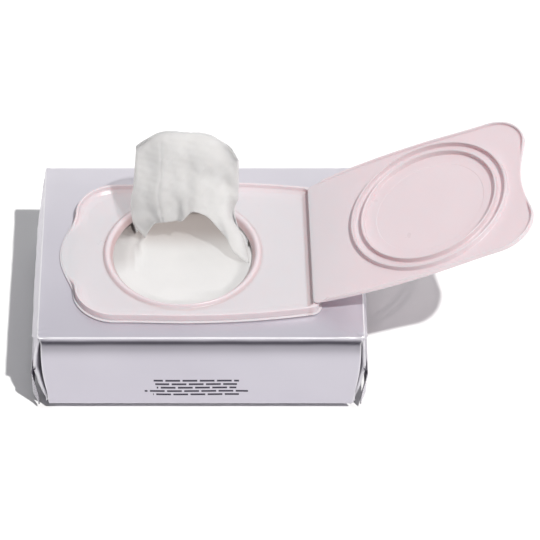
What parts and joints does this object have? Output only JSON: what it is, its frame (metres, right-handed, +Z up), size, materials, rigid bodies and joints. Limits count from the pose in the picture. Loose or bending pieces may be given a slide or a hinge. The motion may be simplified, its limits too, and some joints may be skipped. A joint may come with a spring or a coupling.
{
  "type": "wet wipes pack",
  "caption": "Soft film pack of folded wipes with a moulded flip-top dispenser, lid open, and a wipe pulled up through the round opening.",
  "frame": {"origin": "middle of the underside, on the surface that the pack rests on", "axes": "+Z up, +X from the finger tab towards the hinge and the open lid, +Y to the back of the pack"},
  "size_m": [0.2419, 0.1184, 0.1109],
  "materials": {
    "pearl_film": "pearly lilac-grey satin packaging film",
    "wipe_cloth": "soft damp white non-woven",
    "pink_plastic": "pale pink moulded plastic, softly glossy"
  },
  "bodies": {
    "pack": {"film_pouch": "pearl_film", "wipes_stack": "wipe_cloth", "pulled_wipe": "wipe_cloth", "lid_base": "pink_plastic"},
    "lid": {"flip_lid": "pink_plastic"}
  },
  "joints": [
    {"name": "lid_hinge", "type": "hinge", "parent": "pack", "child": "lid", "pos_m": [0.05449, -0.00049, 0.0573], "axis": [0.0175, -0.9998, 0], "range_deg": [-20, 156.7], "deforming": ["pulled_wipe"]}
  ]
}
